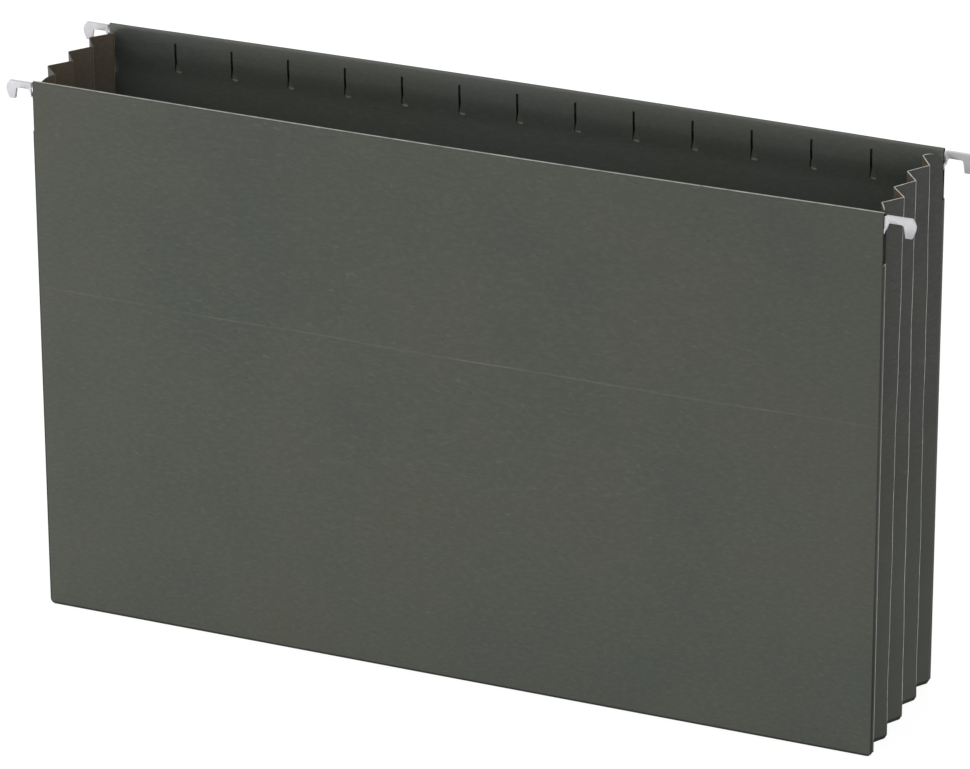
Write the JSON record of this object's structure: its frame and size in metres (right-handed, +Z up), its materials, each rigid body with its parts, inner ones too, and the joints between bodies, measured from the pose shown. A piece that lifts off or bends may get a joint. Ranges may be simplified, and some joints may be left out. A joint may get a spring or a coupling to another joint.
{
  "type": "hanging document pocket",
  "caption": "Hanging pocket of pressboard with pleated side gussets and bottom, slit hems and steel rails with coated hooks, which folds flat.",
  "frame": {"origin": "on the standing surface, at the middle of the bounding box", "axes": "+X along the hanger rails to the right hooks, +Y from the front panel to the back panel, +Z up"},
  "size_m": [0.4, 0.0788, 0.2413],
  "materials": {
    "panel_board": "matte",
    "gusset_board": "matte",
    "bottom_board": "matte",
    "rail_steel": "satin",
    "hook_coating": "satin"
  },
  "bodies": {
    "back_panel": {"back_panel": "panel_board", "back_rail": "rail_steel", "back_right_hook_tip": "hook_coating", "back_left_hook_tip": "hook_coating"},
    "front_panel": {"front_panel": "panel_board", "front_rail": "rail_steel", "front_right_hook_tip": "hook_coating", "front_left_hook_tip": "hook_coating"},
    "right_pleat_1": {"right_pleat_1": "gusset_board"},
    "right_pleat_2": {"right_pleat_2": "gusset_board"},
    "right_pleat_3": {"right_pleat_3": "gusset_board"},
    "right_pleat_4": {"right_pleat_4": "gusset_board"},
    "right_pleat_5": {"right_pleat_5": "gusset_board"},
    "right_pleat_6": {"right_pleat_6": "gusset_board"},
    "right_pleat_7": {"right_pleat_7": "gusset_board"},
    "right_pleat_8": {"right_pleat_8": "gusset_board"},
    "left_pleat_1": {"left_pleat_1": "gusset_board"},
    "left_pleat_2": {"left_pleat_2": "gusset_board"},
    "left_pleat_3": {"left_pleat_3": "gusset_board"},
    "left_pleat_4": {"left_pleat_4": "gusset_board"},
    "left_pleat_5": {"left_pleat_5": "gusset_board"},
    "left_pleat_6": {"left_pleat_6": "gusset_board"},
    "left_pleat_7": {"left_pleat_7": "gusset_board"},
    "left_pleat_8": {"left_pleat_8": "gusset_board"},
    "bottom_pleat_1": {"bottom_pleat_1": "bottom_board"},
    "bottom_pleat_2": {"bottom_pleat_2": "bottom_board"},
    "bottom_pleat_3": {"bottom_pleat_3": "bottom_board"},
    "bottom_pleat_4": {"bottom_pleat_4": "bottom_board"},
    "bottom_pleat_5": {"bottom_pleat_5": "bottom_board"},
    "bottom_pleat_6": {"bottom_pleat_6": "bottom_board"},
    "bottom_pleat_7": {"bottom_pleat_7": "bottom_board"},
    "bottom_pleat_8": {"bottom_pleat_8": "bottom_board"}
  },
  "joints": [
    {"name": "right_fold_8", "type": "hinge", "parent": "back_panel", "child": "right_pleat_8", "pos_m": [0.18668, 0.03495, 0.12065], "axis": [0, 0, -1], "range_deg": [-25, 54]},
    {"name": "pocket_fold", "type": "hinge", "parent": "right_pleat_8", "child": "right_pleat_1", "pos_m": [0.16779, 0, 0.12065], "axis": [0, 0, 1], "range_deg": [-50, 108]},
    {"name": "right_fold_0", "type": "hinge", "parent": "right_pleat_1", "child": "front_panel", "pos_m": [0.18668, -0.03495, 0.12065], "axis": [0, 0, -1], "range_deg": [-25, 54]},
    {"name": "right_fold_7", "type": "hinge", "parent": "right_pleat_8", "child": "right_pleat_7", "pos_m": [0.18195, 0.02622, 0.12065], "axis": [0, 0, 1], "range_deg": [-50, 108]},
    {"name": "right_fold_6", "type": "hinge", "parent": "right_pleat_7", "child": "right_pleat_6", "pos_m": [0.18668, 0.01748, 0.12065], "axis": [0, 0, -1], "range_deg": [-50, 108]},
    {"name": "right_fold_5", "type": "hinge", "parent": "right_pleat_6", "child": "right_pleat_5", "pos_m": [0.18195, 0.00874, 0.12065], "axis": [0, 0, 1], "range_deg": [-50, 108]},
    {"name": "right_fold_1", "type": "hinge", "parent": "right_pleat_1", "child": "right_pleat_2", "pos_m": [0.18195, -0.02622, 0.12065], "axis": [0, 0, -1], "range_deg": [-50, 108]},
    {"name": "right_fold_2", "type": "hinge", "parent": "right_pleat_2", "child": "right_pleat_3", "pos_m": [0.18668, -0.01748, 0.12065], "axis": [0, 0, 1], "range_deg": [-50, 108]},
    {"name": "right_fold_3", "type": "hinge", "parent": "right_pleat_3", "child": "right_pleat_4", "pos_m": [0.18195, -0.00874, 0.12065], "axis": [0, 0, -1], "range_deg": [-50, 108]},
    {"name": "left_fold_8", "type": "hinge", "parent": "back_panel", "child": "left_pleat_8", "pos_m": [-0.18668, 0.03495, 0.12065], "axis": [0, 0, 1], "range_deg": [-25, 54]},
    {"name": "left_fold_7", "type": "hinge", "parent": "left_pleat_8", "child": "left_pleat_7", "pos_m": [-0.18195, 0.02622, 0.12065], "axis": [0, 0, -1], "range_deg": [-50, 108]},
    {"name": "left_fold_6", "type": "hinge", "parent": "left_pleat_7", "child": "left_pleat_6", "pos_m": [-0.18668, 0.01748, 0.12065], "axis": [0, 0, 1], "range_deg": [-50, 108]},
    {"name": "left_fold_5", "type": "hinge", "parent": "left_pleat_6", "child": "left_pleat_5", "pos_m": [-0.18195, 0.00874, 0.12065], "axis": [0, 0, -1], "range_deg": [-50, 108]},
    {"name": "left_fold_0", "type": "hinge", "parent": "front_panel", "child": "left_pleat_1", "pos_m": [-0.18668, -0.03495, 0.12065], "axis": [0, 0, -1], "range_deg": [-25, 54]},
    {"name": "left_fold_1", "type": "hinge", "parent": "left_pleat_1", "child": "left_pleat_2", "pos_m": [-0.18195, -0.02622, 0.12065], "axis": [0, 0, 1], "range_deg": [-50, 108]},
    {"name": "left_fold_2", "type": "hinge", "parent": "left_pleat_2", "child": "left_pleat_3", "pos_m": [-0.18668, -0.01748, 0.12065], "axis": [0, 0, -1], "range_deg": [-50, 108]},
    {"name": "left_fold_3", "type": "hinge", "parent": "left_pleat_3", "child": "left_pleat_4", "pos_m": [-0.18195, -0.00874, 0.12065], "axis": [0, 0, 1], "range_deg": [-50, 108]},
    {"name": "bottom_fold_8", "type": "hinge", "parent": "back_panel", "child": "bottom_pleat_8", "pos_m": [0, 0.03495, 0.00065], "axis": [-1, 0, 0], "range_deg": [-25, 54]},
    {"name": "bottom_fold_7", "type": "hinge", "parent": "bottom_pleat_8", "child": "bottom_pleat_7", "pos_m": [0, 0.02622, 0.00537], "axis": [1, 0, 0], "range_deg": [-50, 108]},
    {"name": "bottom_fold_6", "type": "hinge", "parent": "bottom_pleat_7", "child": "bottom_pleat_6", "pos_m": [0, 0.01748, 0.00065], "axis": [-1, 0, 0], "range_deg": [-50, 108]},
    {"name": "bottom_fold_5", "type": "hinge", "parent": "bottom_pleat_6", "child": "bottom_pleat_5", "pos_m": [0, 0.00874, 0.00537], "axis": [1, 0, 0], "range_deg": [-50, 108]},
    {"name": "bottom_fold_0", "type": "hinge", "parent": "front_panel", "child": "bottom_pleat_1", "pos_m": [0, -0.03495, 0.00065], "axis": [1, 0, 0], "range_deg": [-25, 54]},
    {"name": "bottom_fold_1", "type": "hinge", "parent": "bottom_pleat_1", "child": "bottom_pleat_2", "pos_m": [0, -0.02622, 0.00537], "axis": [-1, 0, 0], "range_deg": [-50, 108]},
    {"name": "bottom_fold_2", "type": "hinge", "parent": "bottom_pleat_2", "child": "bottom_pleat_3", "pos_m": [0, -0.01748, 0.00065], "axis": [1, 0, 0], "range_deg": [-50, 108]},
    {"name": "bottom_fold_3", "type": "hinge", "parent": "bottom_pleat_3", "child": "bottom_pleat_4", "pos_m": [0, -0.00874, 0.00537], "axis": [-1, 0, 0], "range_deg": [-50, 108]}
  ],
  "couplings": [
    {"joint": "right_fold_8", "follows": "pocket_fold", "ratio": 0.5},
    {"joint": "right_fold_0", "follows": "pocket_fold", "ratio": 0.5},
    {"joint": "right_fold_7", "follows": "pocket_fold", "ratio": 1},
    {"joint": "right_fold_6", "follows": "pocket_fold", "ratio": 1},
    {"joint": "right_fold_5", "follows": "pocket_fold", "ratio": 1},
    {"joint": "right_fold_1", "follows": "pocket_fold", "ratio": 1},
    {"joint": "right_fold_2", "follows": "pocket_fold", "ratio": 1},
    {"joint": "right_fold_3", "follows": "pocket_fold", "ratio": 1},
    {"joint": "left_fold_8", "follows": "pocket_fold", "ratio": 0.5},
    {"joint": "left_fold_7", "follows": "pocket_fold", "ratio": 1},
    {"joint": "left_fold_6", "follows": "pocket_fold", "ratio": 1},
    {"joint": "left_fold_5", "follows": "pocket_fold", "ratio": 1},
    {"joint": "left_fold_0", "follows": "pocket_fold", "ratio": 0.5},
    {"joint": "left_fold_1", "follows": "pocket_fold", "ratio": 1},
    {"joint": "left_fold_2", "follows": "pocket_fold", "ratio": 1},
    {"joint": "left_fold_3", "follows": "pocket_fold", "ratio": 1},
    {"joint": "bottom_fold_8", "follows": "pocket_fold", "ratio": 0.5},
    {"joint": "bottom_fold_7", "follows": "pocket_fold", "ratio": 1},
    {"joint": "bottom_fold_6", "follows": "pocket_fold", "ratio": 1},
    {"joint": "bottom_fold_5", "follows": "pocket_fold", "ratio": 1},
    {"joint": "bottom_fold_0", "follows": "pocket_fold", "ratio": 0.5},
    {"joint": "bottom_fold_1", "follows": "pocket_fold", "ratio": 1},
    {"joint": "bottom_fold_2", "follows": "pocket_fold", "ratio": 1},
    {"joint": "bottom_fold_3", "follows": "pocket_fold", "ratio": 1}
  ]
}
